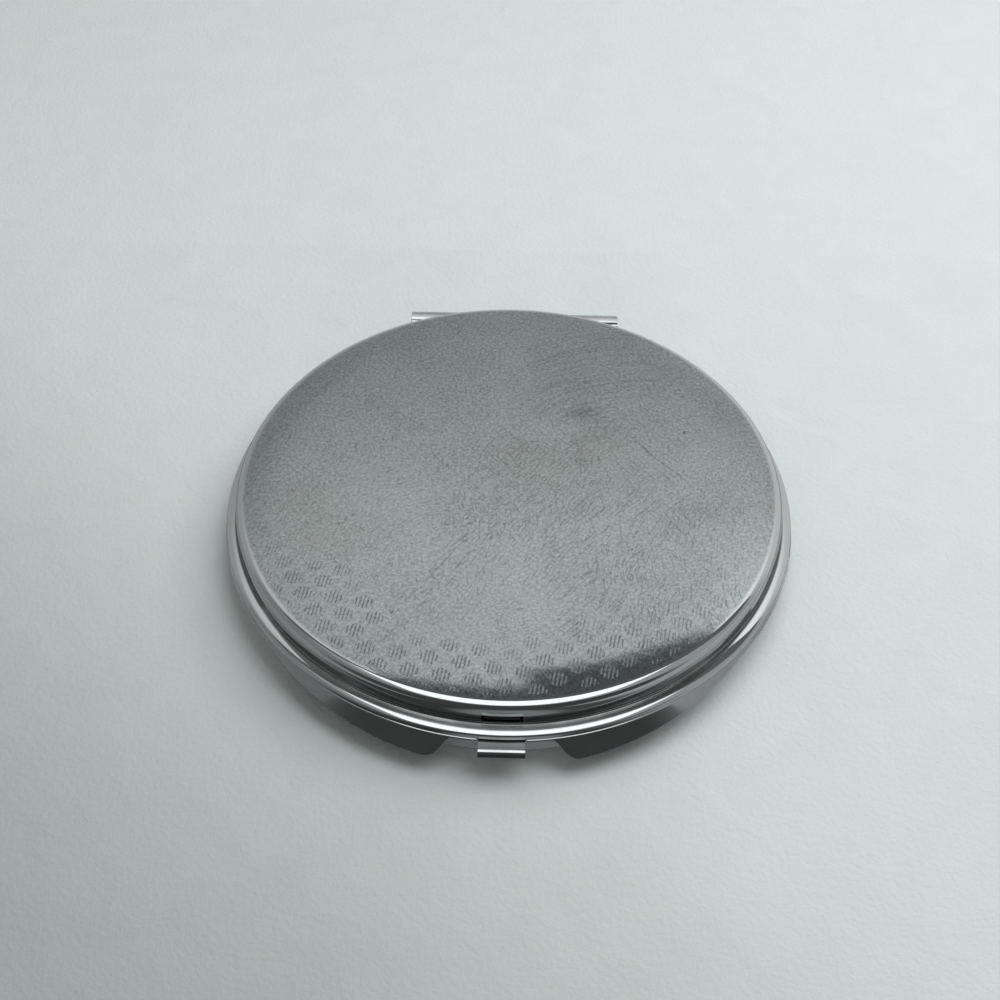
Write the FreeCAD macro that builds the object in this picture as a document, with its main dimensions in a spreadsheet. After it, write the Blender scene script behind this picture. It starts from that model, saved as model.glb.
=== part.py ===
import FreeCAD, Part
import os
import re
from math import atan2, sqrt

import Sketcher

# Round compact mirror, closed. The origin is the centre of the flat bottom, +Z is up,
# the hinge is at +Y and the latch at -Y. All sizes are in millimetres and degrees.

SIZES = {
    # case
    "case_radius": 35.0,
    "base_height": 4.6,
    "lid_height": 5.15,
    "parting_gap": 0.3,
    # pressed sheet
    "shell_sheet": 0.45,
    "frame_sheet": 0.45,
    "leaf_sheet": 0.5,
    "latch_sheet": 0.4,
    "guide_sheet": 0.35,
    # outline of the two shells
    "wall_inset": 1.4,
    "shoulder_radius": 0.9,
    "pillow_width": 5.6,
    "pillow_radius": 30.0,
    "crown_radius": 900.0,
    "cove_radius": 0.5,
    "rim_radius": 0.6,
    "rim_drop": 0.1,
    "flange_bend": 0.3,
    "flange_room": 0.1,
    "frame_room": 0.2,
    # base frame: turned-down brim and the two ears beside the latch
    "plate_overhang": 0.25,
    "brim_inset": 0.6,
    "brim_bend": 1.0,
    "brim_angle": 45.0,
    "notch_inset": 0.15,
    "notch_angle": 7.7,
    "ear_angle": 13.7,
    "ear_reach": 1.8,
    "ear_end_angle": 50.0,
    "ear_edge_radius": 33.4,
    "ear_root_bend": 2.3,
    "ear_tip_bend": 2.3,
    # mirrors and pads
    "mirror_room": 0.15,
    "mirror_overlap": 0.9,
    "mirror_bevel": 0.3,
    "lid_glass": 1.8,
    "base_glass": 2.0,
    "magnifier_sag": 0.75,
    "pad_inset": 2.5,
    "pad_room": 0.05,
    # hinge
    "hinge_inset": 0.3,
    "hinge_length": 29.0,
    "hinge_room": 0.3,
    "knuckle_radius": 1.5,
    "centre_knuckle": 14.4,
    "knuckle_gap": 0.2,
    "pin_clearance": 0.05,
    "pin_recess": 0.3,
    "leaf_room": 0.7,
    "leaf_step": 1.2,
    # rivets
    "rivet_radius": 0.5,
    "rivet_head": 0.8,
    "rivet_dome": 0.35,
    "rivet_clearance": 0.02,
    "hinge_rivet_place": 4.8,
    "guide_rivet_place": 5.7,
    # latch
    "latch_width": 5.2,
    "latch_travel": 0.8,
    "latch_drop": 0.05,
    "slot_room": 0.2,
    "slot_end_room": 0.5,
    "bead_radius": 0.68,
    "bead_reach": 0.9,
    "finger_width": 4.0,
    "finger_room": 0.65,
    "tooth_reach": 0.3,
    "tooth_edge": 0.2,
    "tooth_height": 0.8,
    "tooth_room": 0.2,
    "window_width": 4.6,
    "window_rise": 0.45,
    "window_height": 1.0,
    "tongue_width": 8.4,
    "tongue_length": 1.5,
    "tongue_room": 0.05,
    "guide_room": 0.1,
    "guide_side_room": 0.2,
    "guide_length": 2.65,
    "guide_foot": 1.8,
    "spring_sheet": 0.15,
    "spring_seat": 0.05,
    "spring_room": 0.2,
    "spring_half_span": 3.6,
}

doc = FreeCAD.newDocument("compact_mirror")
sheet = doc.addObject("Spreadsheet::Sheet", "Sizes")
for row, (name, size) in enumerate(SIZES.items(), start=1):
    sheet.set(f"A{row}", name)
    sheet.set(f"B{row}", str(size))
    sheet.setAlias(f"B{row}", name)
doc.recompute()

# Levels and radii that several pieces share, worked out from the driving sizes.
wall = "(case_radius - wall_inset)"
wall_inside = f"({wall} - shell_sheet)"
lid_frame_under = "(base_height + parting_gap / 2)"
lid_frame_top = f"({lid_frame_under} + frame_sheet)"
lid_flange_top = f"({lid_frame_top} + shell_sheet)"
lid_top = "(base_height + lid_height)"
base_frame_top = "(base_height - parting_gap / 2)"
base_frame_under = f"({base_frame_top} - frame_sheet)"
base_flange_under = f"({base_frame_under} - shell_sheet)"
brim_start = "(case_radius - brim_inset)"
plate_radius = "(case_radius + plate_overhang)"
frame_radius = "(case_radius - shell_sheet - frame_room)"

hinge_y = "(case_radius - hinge_inset)"
rear_edge = f"({hinge_y} - knuckle_radius - hinge_room)"
knuckle_bore = "(knuckle_radius - leaf_sheet)"
half_hinge = "(hinge_length / 2 + hinge_room)"
outside = "(case_radius + 2 * knuckle_radius)"

# The latch is stacked inwards from the wall, and the mirrors fill what it leaves.
finger_outside = f"({wall_inside} - finger_room)"
finger_inside = f"({finger_outside} - latch_sheet)"
slot_end = f"({finger_inside} - latch_travel - slot_end_room)"
slot_half = "(latch_width / 2 + slot_room)"
tongue_end = f"({finger_outside} - tongue_length)"
guide_back = f"({tongue_end} - latch_travel - spring_room)"
guide_end = f"({guide_back} - guide_sheet)"
mirror_radius = f"({guide_end} - mirror_room)"
opening_radius = f"({mirror_radius} - mirror_overlap)"
pad_radius = f"({mirror_radius} - pad_inset)"
leaf_end = f"({mirror_radius} + leaf_room)"
step_start = f"({rear_edge} - leaf_sheet - hinge_room)"
hinge_rivet_y = f"(({leaf_end} + {step_start}) / 2)"
leg_top = f"({base_frame_top} - latch_drop)"
leg_under = f"({leg_top} - latch_sheet)"
tongue_top = f"({base_frame_under} - tongue_room)"
tongue_under = f"({tongue_top} - latch_sheet)"
guide_floor_top = f"({tongue_under} - guide_room)"
guide_front = f"({guide_end} + guide_length)"
guide_rivet_y = f"(-({guide_end} + {guide_front}) / 2)"
window_bottom = f"({lid_flange_top} + window_rise)"


def bound(text):
    """An expression of the sheet: every size's name gets the sheet's own name before it."""
    return re.sub(r"[a-z_]+", lambda word: f"Sizes.{word[0]}" if word[0] in SIZES else word[0], str(text))


def value(text):
    """The number that an expression of sizes stands for."""
    return float(sheet.evalExpression(bound(text)))


def tie(thing, **properties):
    """Bind properties of an object to expressions; a double underscore stands for a dot."""
    for name, text in properties.items():
        thing.setExpression(name.replace("__", "."), bound(text))


def arc_through(start, end, radius, side):
    """The short arc between two points; side 1 puts its centre on the left of the way, -1 on the right."""
    chord = end - start
    half = chord.Length / 2
    reach = sqrt(max(radius * radius - half * half, 0.0))
    left = FreeCAD.Vector(-chord.y, chord.x, 0) / chord.Length
    centre = (start + end) / 2 + left * (side * reach)
    first, last = (start, end) if side > 0 else (end, start)
    circle = Part.Circle(centre, FreeCAD.Vector(0, 0, 1), radius)
    from_angle = atan2(first.y - centre.y, first.x - centre.x)
    to_angle = atan2(last.y - centre.y, last.x - centre.x)
    return Part.ArcOfCircle(circle, from_angle, to_angle)


def outline(body, name, plane, corners):
    """A closed sketch on one of the body's planes.

    A corner is (x, y), reached by a straight edge, or (x, y, radius, side), reached by an arc.
    Each corner and each radius is held by a constraint that is bound to the sheet.
    """
    sketch = body.newObject("Sketcher::SketchObject", name)
    support = next(item for item in body.Origin.OriginFeatures if item.Role == plane)
    sketch.AttachmentSupport = [(support, "")]
    sketch.MapMode = "FlatFace"
    points = [FreeCAD.Vector(value(corner[0]), value(corner[1]), 0) for corner in corners]
    ends = []
    for index, start in enumerate(points):
        following = (index + 1) % len(points)
        target = corners[following]
        if len(target) == 2:
            edge = sketch.addGeometry(Part.LineSegment(start, points[following]))
            ends.append((edge, 1, 2))
            continue
        radius, side = target[2], target[3]
        edge = sketch.addGeometry(arc_through(start, points[following], value(radius), side))
        ends.append((edge, 1, 2) if side > 0 else (edge, 2, 1))
        held = sketch.addConstraint(Sketcher.Constraint("Radius", edge, value(radius)))
        sketch.setExpression(f"Constraints[{held}]", bound(radius))
    for index, (edge, first, last) in enumerate(ends):
        other, other_first, _ = ends[(index + 1) % len(ends)]
        sketch.addConstraint(Sketcher.Constraint("Coincident", edge, last, other, other_first))
        for kind, axis in (("DistanceX", 0), ("DistanceY", 1)):
            place = points[index][axis]
            held = sketch.addConstraint(Sketcher.Constraint(kind, edge, first, place))
            sketch.setExpression(f"Constraints[{held}]", bound(corners[index][axis]))
    return sketch


def new_body(name):
    return doc.addObject("PartDesign::Body", name)


def revolved(name, corners):
    """A body turned about the Z axis from an outline of radius and height."""
    body = new_body(name)
    sketch = outline(body, f"{name}_section", "XZ_Plane", corners)
    turn = body.newObject("PartDesign::Revolution", f"{name}_turn")
    turn.Profile = sketch
    turn.ReferenceAxis = (sketch, ["V_Axis"])
    turn.Angle = 360
    return body


def padded(body, name, plane, corners, start, length):
    """Add a pad of an outline to a body, from start along the plane's normal."""
    sketch = outline(body, f"{name}_outline", plane, corners)
    tie(sketch, AttachmentOffset__Base__z=start)
    pad = body.newObject("PartDesign::Pad", f"{name}_pad")
    pad.Profile = sketch
    tie(pad, Length=length)
    return body


def centred_pad(body, name, corners, width):
    """Add a pad of a side view, drawn in Y and Z, to a body, centred on the middle of the case."""
    return padded(body, name, "YZ_Plane", corners, f"-({width}) / 2", width)


def block(name, x, y, z):
    """A box between pairs of coordinates."""
    box = doc.addObject("Part::Box", name)
    for axis, side, (low, high) in zip("xyz", ("Length", "Width", "Height"), (x, y, z)):
        tie(box, **{side: f"({high}) - ({low})", f"Placement__Base__{axis}": low})
    return box


def upright_hole_pair(name, place, y, low, high):
    """Two rivet holes, one on each side of the middle."""
    holes = []
    for side, sign in (("right", ""), ("left", "-")):
        hole = doc.addObject("Part::Cylinder", f"{name}_{side}")
        tie(hole, Radius="rivet_radius + rivet_clearance", Height=f"({high}) - ({low})")
        tie(hole, Placement__Base__x=f"{sign}{place}", Placement__Base__y=y, Placement__Base__z=low)
        holes.append(hole)
    return holes


def cut(name, solid, *tools):
    """A solid less one or more tools."""
    result = doc.addObject("Part::Cut", name)
    result.Base = solid
    if len(tools) == 1:
        result.Tool = tools[0]
        return result
    joined = doc.addObject("Part::MultiFuse", f"{name}_tools")
    joined.Shapes = list(tools)
    result.Tool = joined
    return result


def lid_shell():
    """Pressed lid: crowned disc with a drooping edge, upright wall, cove, flange and turned-down rim."""
    crown_sin = f"(({wall} - pillow_width) / crown_radius)"
    crown_cos = f"sqrt(1 - {crown_sin}^2)"
    pillow_x = f"((crown_radius - pillow_radius) * {crown_sin})"
    pillow_z = f"({lid_top} - crown_radius + (crown_radius - pillow_radius) * {crown_cos})"
    edge_sin = f"(({wall} - shoulder_radius - {pillow_x}) / (pillow_radius - shoulder_radius))"
    edge_cos = f"sqrt(1 - {edge_sin}^2)"
    shoulder_z = f"({pillow_z} + (pillow_radius - shoulder_radius) * {edge_cos})"
    rim_under = f"{lid_frame_under} - rim_drop"
    rim_centre = f"{lid_flange_top} - rim_radius"

    def crown_end(radius):
        return f"{radius} * {crown_sin}", f"{lid_top} - crown_radius + {radius} * {crown_cos}"

    def pillow_end(radius):
        return f"{pillow_x} + {radius} * {edge_sin}", f"{pillow_z} + {radius} * {edge_cos}"

    body = revolved("lid_shell_blank", [
        ("0", lid_top),
        (*crown_end("crown_radius"), "crown_radius", -1),
        (*pillow_end("pillow_radius"), "pillow_radius", -1),
        (wall, shoulder_z, "shoulder_radius", -1),
        (wall, f"{lid_flange_top} + cove_radius"),
        (f"{wall} + cove_radius", lid_flange_top, "cove_radius", 1),
        ("case_radius - rim_radius", lid_flange_top),
        ("case_radius", rim_centre, "rim_radius", -1),
        ("case_radius", rim_under),
        ("case_radius - shell_sheet", rim_under),
        ("case_radius - shell_sheet", rim_centre),
        ("case_radius - rim_radius", f"{lid_flange_top} - shell_sheet", "rim_radius - shell_sheet", 1),
        (f"{wall} + cove_radius", f"{lid_flange_top} - shell_sheet"),
        (wall_inside, f"{lid_flange_top} + cove_radius", "cove_radius + shell_sheet", -1),
        (wall_inside, shoulder_z),
        (*pillow_end("(pillow_radius - shell_sheet)"), "shoulder_radius - shell_sheet", 1),
        (*crown_end("(crown_radius - shell_sheet)"), "pillow_radius - shell_sheet", 1),
        ("0", f"{lid_top} - shell_sheet", "crown_radius - shell_sheet", 1),
    ])
    hinge_top = "base_height + knuckle_radius + hinge_room"
    half_leaf = "(centre_knuckle / 2 + hinge_room)"
    tube_gap = block("lid_tube_gap", (f"-{half_hinge}", half_hinge), (rear_edge, outside), ("0", hinge_top))
    leaf_gap = block("lid_leaf_gap", (f"-{half_leaf}", half_leaf), (leaf_end, outside), ("0", hinge_top))
    window = block(
        "latch_window",
        ("-window_width / 2", "window_width / 2"),
        (f"-{outside}", f"-{finger_outside}"),
        (window_bottom, f"{window_bottom} + window_height"),
    )
    return cut("lid_shell", body, tube_gap, leaf_gap, window)


def lid_frame():
    """Flat ring that holds the plain mirror in the lid, slotted for the latch finger."""
    bevel = "(frame_sheet / 2)"
    ring = revolved("lid_ring", [
        (opening_radius, lid_frame_top),
        (opening_radius, f"{lid_frame_under} + {bevel}"),
        (f"{opening_radius} + {bevel}", lid_frame_under, bevel, 1),
        (frame_radius, lid_frame_under),
        (frame_radius, lid_frame_top),
    ])
    slot_side = "(finger_width / 2 + slot_end_room)"
    low, high = "base_height", f"{lid_frame_top} + frame_sheet"
    rear = block("lid_frame_rear", ("-case_radius", "case_radius"), (rear_edge, "case_radius"), (low, high))
    front = ("-case_radius", f"-{slot_end}")
    slot = block("lid_frame_slot", (f"-{slot_side}", slot_side), front, (low, high))
    holes = upright_hole_pair("lid_frame_hole", "hinge_rivet_place", hinge_rivet_y, low, high)
    return cut("lid_frame", ring, rear, slot, *holes)


def base_shell():
    """Pressed base: flat bottom, rounded shoulder, upright wall and outward flange under the frame."""
    flange_radius = f"({brim_start} - flange_room)"
    bend_z = f"{base_flange_under} - flange_bend"
    body = revolved("base_shell_blank", [
        ("0", "0"),
        (f"{wall} - shoulder_radius", "0"),
        (wall, "shoulder_radius", "shoulder_radius", 1),
        (wall, bend_z),
        (f"{wall} + flange_bend", base_flange_under, "flange_bend", -1),
        (flange_radius, base_flange_under),
        (flange_radius, base_frame_under),
        (f"{wall} + flange_bend", base_frame_under),
        (wall_inside, bend_z, "flange_bend + shell_sheet", 1),
        (wall_inside, "shoulder_radius"),
        (f"{wall} - shoulder_radius", "shell_sheet", "shoulder_radius - shell_sheet", -1),
        ("0", "shell_sheet"),
    ])
    hinge_bottom = "base_height - knuckle_radius - hinge_room"
    hinge_gap = block(
        "base_hinge_gap",
        (f"-{half_hinge}", half_hinge),
        (mirror_radius, outside),
        (hinge_bottom, lid_top),
    )
    latch_gap = block(
        "base_latch_gap",
        (f"-{slot_half}", slot_half),
        (f"-{outside}", f"-{finger_outside}"),
        (f"{leg_under} - latch_sheet", lid_top),
    )
    return cut("base_shell", body, hinge_gap, latch_gap)


def around(radius, angle, side=""):
    """A point at a radius and an angle from the front, on the right or, with a minus sign, on the left."""
    return f"{side}{radius} * sin({angle})", f"-{radius} * cos({angle})"


def base_frame():
    """Ring that holds the magnifying mirror, with a turned-down brim, two flared ears and the latch slot.

    A turned ring with a conical brim is trimmed by an outline in plan: the brim is cut back to a narrow
    lip all round and left wide at the ears.
    """
    inner_bend = "(brim_bend - frame_sheet)"
    bend_z = f"({base_frame_top} - brim_bend)"
    ear_radius = "(case_radius + ear_reach)"
    brim_length = f"(({ear_radius} - {brim_start}) / cos(brim_angle) + frame_sheet)"
    drop = f"{brim_length} * sin(brim_angle)"
    run = f"{brim_length} * cos(brim_angle)"

    def bend_end(radius):
        return f"{brim_start} + {radius} * sin(brim_angle)", f"{bend_z} + {radius} * cos(brim_angle)"

    def brim_end(radius):
        across, up = bend_end(radius)
        return f"{across} + {run}", f"{up} - {drop}"

    lip = "(frame_sheet / 2)"
    ring = revolved("base_ring", [
        (opening_radius, base_frame_under),
        (brim_start, base_frame_under),
        (*bend_end(inner_bend), inner_bend, -1),
        brim_end(inner_bend),
        brim_end("brim_bend"),
        bend_end("brim_bend"),
        (brim_start, base_frame_top, "brim_bend", 1),
        (f"{opening_radius} + {lip}", base_frame_top),
        (opening_radius, f"{base_frame_top} - {lip}", lip, 1),
    ])

    notch_radius = "(case_radius - notch_inset)"
    middle_radius = f"(({notch_radius} + {ear_radius}) / 2)"
    middle_angle = "((notch_angle + ear_angle) / 2)"
    notch_corner = f"-sqrt({notch_radius}^2 - {slot_half}^2)"
    rear_corner = f"sqrt({plate_radius}^2 - {rear_edge}^2)"
    plan = new_body("base_plan")
    padded(plan, "base_plan", "XY_Plane", [
        (f"-{slot_half}", f"-{slot_end}"),
        (slot_half, f"-{slot_end}"),
        (slot_half, notch_corner),
        (*around(notch_radius, "notch_angle"), notch_radius, 1),
        (*around(middle_radius, middle_angle), "ear_root_bend", -1),
        (*around(ear_radius, "ear_angle"), "ear_tip_bend", 1),
        (*around(plate_radius, "ear_end_angle"), "ear_edge_radius", 1),
        (rear_corner, rear_edge, plate_radius, 1),
        (f"-{rear_corner}", rear_edge),
        (*around(plate_radius, "ear_end_angle", "-"), plate_radius, 1),
        (*around(ear_radius, "ear_angle", "-"), "ear_edge_radius", 1),
        (*around(middle_radius, middle_angle, "-"), "ear_tip_bend", 1),
        (*around(notch_radius, "notch_angle", "-"), "ear_root_bend", -1),
        (f"-{slot_half}", notch_corner, notch_radius, 1),
    ], "0", lid_top)

    trimmed = doc.addObject("Part::Common", "base_frame_blank")
    trimmed.Base = ring
    trimmed.Tool = plan
    low, high = "0", "base_height"
    leaf_gap = block(
        "base_frame_leaf_gap", (f"-{half_hinge}", half_hinge), (leaf_end, outside), (low, base_frame_under)
    )
    hinge_holes = upright_hole_pair("base_frame_hinge_hole", "hinge_rivet_place", hinge_rivet_y, low, high)
    guide_holes = upright_hole_pair("base_frame_guide_hole", "guide_rivet_place", guide_rivet_y, low, high)
    return cut("base_frame", trimmed, leaf_gap, *hinge_holes, *guide_holes)


def lid_mirror():
    """Plain glass disc with a bevelled back edge, held behind the lid's ring."""
    back = f"{lid_frame_top} + lid_glass"
    return revolved("lid_mirror", [
        ("0", lid_frame_top),
        (mirror_radius, lid_frame_top),
        (mirror_radius, f"{back} - mirror_bevel"),
        (f"{mirror_radius} - mirror_bevel", back),
        ("0", back),
    ])


def base_mirror():
    """Magnifying glass disc: hollow front inside a flat edge that seats under the base ring."""
    back = f"{base_frame_under} - base_glass"
    hollow = f"(({opening_radius}^2 + magnifier_sag^2) / (2 * magnifier_sag))"
    return revolved("base_mirror", [
        ("0", back),
        (f"{mirror_radius} - mirror_bevel", back),
        (mirror_radius, f"{back} + mirror_bevel"),
        (mirror_radius, base_frame_under),
        (opening_radius, base_frame_under),
        ("0", f"{base_frame_under} - magnifier_sag", hollow, -1),
    ])


def backing_pad(name, low, high):
    """Foam disc that presses a mirror against its ring."""
    return revolved(name, [("0", low), (pad_radius, low), (pad_radius, high), ("0", high)])


def lid_backing_pad():
    crown_at_pad = f"({lid_top} - crown_radius + sqrt(crown_radius^2 - {pad_radius}^2))"
    pad_top = f"{crown_at_pad} - shell_sheet - pad_room"
    return backing_pad("lid_backing_pad", f"{lid_frame_top} + lid_glass", pad_top)


def base_backing_pad():
    return backing_pad("base_backing_pad", "shell_sheet", f"{base_frame_under} - base_glass")


def on_circle(angle, radius, centre_y, centre_z, upward="1"):
    """A point on a circle in the side view, at an angle from the outward direction."""
    return f"{centre_y} + {radius} * cos({angle})", f"{centre_z} + {upward} * {radius} * sin({angle})"


CURL_ANGLES = ("90", "-10", "-110", "-200")


def leaf_side_view(upward):
    """Side view of a hinge leaf: a flat on its frame, a step and an eye rolled round the pin.

    upward is 1 for the lid's leaf and -1 for the base's, which is its mirror image.
    """
    seat = "(parting_gap / 2 + frame_sheet)"

    def level(height):
        return f"base_height + {upward} * ({height})"

    def turned(point, radius, side):
        return (*point, radius, side * upward)

    def eye(angle, radius):
        return on_circle(angle, radius, hinge_y, "base_height", upward)

    inner = [eye(angle, knuckle_bore) for angle in CURL_ANGLES]
    outer = [eye(angle, "knuckle_radius") for angle in reversed(CURL_ANGLES)]
    return [
        (leaf_end, level(seat)),
        (step_start, level(seat)),
        (f"{step_start} + leaf_step", level(knuckle_bore)),
        inner[0],
        *[turned(point, knuckle_bore, -1) for point in inner[1:]],
        outer[0],
        *[turned(point, "knuckle_radius", 1) for point in outer[1:]],
        (f"{step_start} + leaf_step", level("knuckle_radius")),
        (step_start, level(f"{seat} + leaf_sheet")),
        (leaf_end, level(f"{seat} + leaf_sheet")),
    ]


def lid_hinge_leaf():
    """Leaf of the lid with the middle eye of the hinge."""
    body = centred_pad(new_body("lid_leaf_blank"), "lid_leaf", leaf_side_view(1), "centre_knuckle")
    holes = upright_hole_pair("lid_leaf_hole", "hinge_rivet_place", hinge_rivet_y, "base_height", lid_top)
    return cut("lid_hinge_leaf", body, *holes)


def base_hinge_leaf():
    """Leaf of the base with the two outer eyes of the hinge."""
    body = centred_pad(new_body("base_leaf_blank"), "base_leaf", leaf_side_view(-1), "hinge_length")
    half_gap = "(centre_knuckle / 2 + knuckle_gap)"
    middle = block("base_leaf_middle", (f"-{half_gap}", half_gap), (step_start, outside), ("0", lid_top))
    holes = upright_hole_pair("base_leaf_hole", "hinge_rivet_place", hinge_rivet_y, "0", "base_height")
    return cut("base_hinge_leaf", body, middle, *holes)


def hinge_pin():
    """Pin through the three eyes, its ends just inside the outer ones."""
    pin = doc.addObject("Part::Cylinder", "hinge_pin")
    half = "(hinge_length / 2 - pin_recess)"
    tie(pin, Radius=f"{knuckle_bore} - pin_clearance", Height=f"2 * {half}")
    pin.Placement.Rotation = FreeCAD.Rotation(FreeCAD.Vector(0, 1, 0), 90)
    tie(pin, Placement__Base__x=f"-{half}", Placement__Base__y=hinge_y, Placement__Base__z="base_height")
    return pin


def rivet_pair(name, place, y, flush, seat):
    """Two rivets, flush on the frame's face at one end and domed on the seat at the other."""
    upward = 1 if value(seat) > value(flush) else -1
    dome = "((rivet_head^2 + rivet_dome^2) / (2 * rivet_dome))"
    rivet = revolved(f"{name}_right", [
        ("0", flush),
        ("rivet_radius", flush),
        ("rivet_radius", seat),
        ("rivet_head", seat),
        ("0", f"{seat} + {upward} * rivet_dome", dome, upward),
    ])
    tie(rivet, Placement__Base__x=place, Placement__Base__y=y)
    other = doc.addObject("Part::Mirroring", f"{name}_left")
    other.Source = rivet
    other.Normal = FreeCAD.Vector(1, 0, 0)
    pair = doc.addObject("Part::Compound", name)
    pair.Links = [rivet, other]
    return pair


def lid_hinge_rivets():
    seat = f"{lid_frame_top} + leaf_sheet"
    return rivet_pair("lid_hinge_rivets", "hinge_rivet_place", hinge_rivet_y, lid_frame_under, seat)


def base_hinge_rivets():
    seat = f"{base_frame_under} - leaf_sheet"
    return rivet_pair("base_hinge_rivets", "hinge_rivet_place", hinge_rivet_y, base_frame_top, seat)


def latch_guide_rivets():
    seat = f"{base_frame_under} - guide_sheet"
    return rivet_pair("latch_guide_rivets", "guide_rivet_place", guide_rivet_y, base_frame_top, seat)


def latch_slider():
    """Sliding latch: rolled thumb bead, leg in the slot, hooked finger up into the lid and guide tongue."""
    bead_y = "(-(case_radius + bead_reach))"
    bead_z = f"({leg_top} - bead_radius)"
    bore = "(bead_radius - latch_sheet)"
    finger_low = f"-{finger_inside}"

    def curl(angle, radius):
        return on_circle(f"180 - ({angle})", radius, bead_y, bead_z)

    inner = [curl(angle, bore) for angle in CURL_ANGLES]
    outer = [curl(angle, "bead_radius") for angle in reversed(CURL_ANGLES)]
    body = new_body("latch_slider")
    centred_pad(body, "latch_leg", [
        (finger_low, leg_under),
        inner[0],
        *[(*point, bore, 1) for point in inner[1:]],
        outer[0],
        *[(*point, "bead_radius", -1) for point in outer[1:]],
        (finger_low, leg_top),
    ], "latch_width")
    centred_pad(body, "latch_web", [
        (f"-{finger_outside}", tongue_under),
        (finger_low, tongue_under),
        (finger_low, leg_top),
        (f"-{finger_outside}", leg_top),
    ], "latch_width")
    tooth_tip = f"-({wall_inside} + tooth_reach)"
    tooth_under = f"({window_bottom} + tooth_room)"
    centred_pad(body, "latch_finger", [
        (finger_low, leg_under),
        (finger_low, f"{tooth_under} + tooth_height"),
        (f"-{finger_outside}", f"{tooth_under} + tooth_height"),
        (tooth_tip, f"{tooth_under} + tooth_edge"),
        (tooth_tip, tooth_under),
        (f"-{finger_outside}", tooth_under),
        (f"-{finger_outside}", leg_under),
    ], "finger_width")
    centred_pad(body, "latch_tongue", [
        (f"-{tongue_end}", tongue_under),
        (f"-{tongue_end}", tongue_top),
        (f"-{finger_outside}", tongue_top),
        (f"-{finger_outside}", tongue_under),
    ], "tongue_width")
    return body


def latch_guide():
    """Hat-shaped bracket under the base frame: it carries the latch tongue and backs its spring."""
    inside = "(tongue_width / 2 + guide_side_room)"
    side = f"({inside} + guide_sheet)"
    foot = f"({side} + guide_foot)"
    floor = f"{guide_floor_top} - guide_sheet"
    seat = f"{base_frame_under} - guide_sheet"
    blank = new_body("latch_guide_blank")
    padded(blank, "guide_hat", "XZ_Plane", [
        (f"-{side}", floor),
        (side, floor),
        (side, seat),
        (foot, seat),
        (foot, base_frame_under),
        (inside, base_frame_under),
        (inside, guide_floor_top),
        (f"-{inside}", guide_floor_top),
        (f"-{inside}", base_frame_under),
        (f"-{foot}", base_frame_under),
        (f"-{foot}", seat),
        (f"-{side}", seat),
    ], guide_end, "guide_length")
    centred_pad(blank, "guide_back", [
        (f"-{guide_back}", floor),
        (f"-{guide_back}", tongue_top),
        (f"-{guide_end}", tongue_top),
        (f"-{guide_end}", floor),
    ], f"2 * {side}")
    holes = upright_hole_pair("guide_hole", "guide_rivet_place", guide_rivet_y, "0", "base_height")
    return cut("latch_guide", blank, *holes)


def latch_spring():
    """Bowed strip between the guide's back wall and the tongue, which pushes the latch out."""
    rise = f"({tongue_end} - {guide_back} - spring_sheet - 2 * spring_seat)"
    inner = f"((spring_half_span^2 + {rise}^2) / (2 * {rise}))"
    outer = f"({inner} + spring_sheet)"
    foot = f"-({guide_back} + spring_seat)"
    tip_half_span = f"(spring_half_span * {outer} / {inner})"
    tip = f"{foot} - spring_sheet * ({inner} - {rise}) / {inner}"
    return padded(new_body("latch_spring"), "spring_bow", "XY_Plane", [
        ("-spring_half_span", foot),
        ("0", f"{foot} - {rise}", inner, 1),
        ("spring_half_span", foot, inner, 1),
        (tip_half_span, tip),
        ("0", f"{foot} - {rise} - spring_sheet", outer, -1),
        (f"-{tip_half_span}", tip, outer, -1),
    ], tongue_under, "latch_sheet")


pieces = [
    lid_shell(),
    lid_frame(),
    lid_mirror(),
    lid_backing_pad(),
    lid_hinge_leaf(),
    lid_hinge_rivets(),
    base_shell(),
    base_frame(),
    base_mirror(),
    base_backing_pad(),
    base_hinge_leaf(),
    base_hinge_rivets(),
    hinge_pin(),
    latch_guide(),
    latch_guide_rivets(),
    latch_spring(),
    latch_slider(),
]
doc.recompute()

for thing in doc.Objects:
    if "Invalid" in thing.State or "Error" in thing.State:
        raise RuntimeError(f"{thing.Name} failed: {thing.State}")
for piece in pieces:
    if piece.Shape.isNull() or not piece.Shape.isValid():
        raise RuntimeError(f"{piece.Label} has no valid shape")

os.makedirs("parts", exist_ok=True)
for piece in pieces:
    piece.Shape.exportStep(f"parts/{piece.Label}.step")
    size = piece.Shape.optimalBoundingBox()
    print(
        f"{piece.Label}: {len(piece.Shape.Solids)} solid, {piece.Shape.Volume:.2f} mm3,"
        f" {size.XLength:.2f} x {size.YLength:.2f} x {size.ZLength:.2f} mm"
    )
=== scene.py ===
# %% [markdown]
# # A round compact mirror in chromed sheet steel
# The real object is a pocket mirror in a pressed metal case: a crowned lid, a shallow base, two round
# mirrors, a rolled hinge at the back and a small thumb latch at the front. The solids come from CAD and give
# every size. This lesson dresses them: the plated sheet pieces are modelled again with clean, evenly spaced
# faces, because a mirror-bright finish shows every uneven facet, and each surface gets its own finish.

# %% Load the solids and keep their box
import math

import bmesh
import bpy
from mathutils import Matrix, Vector


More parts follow.
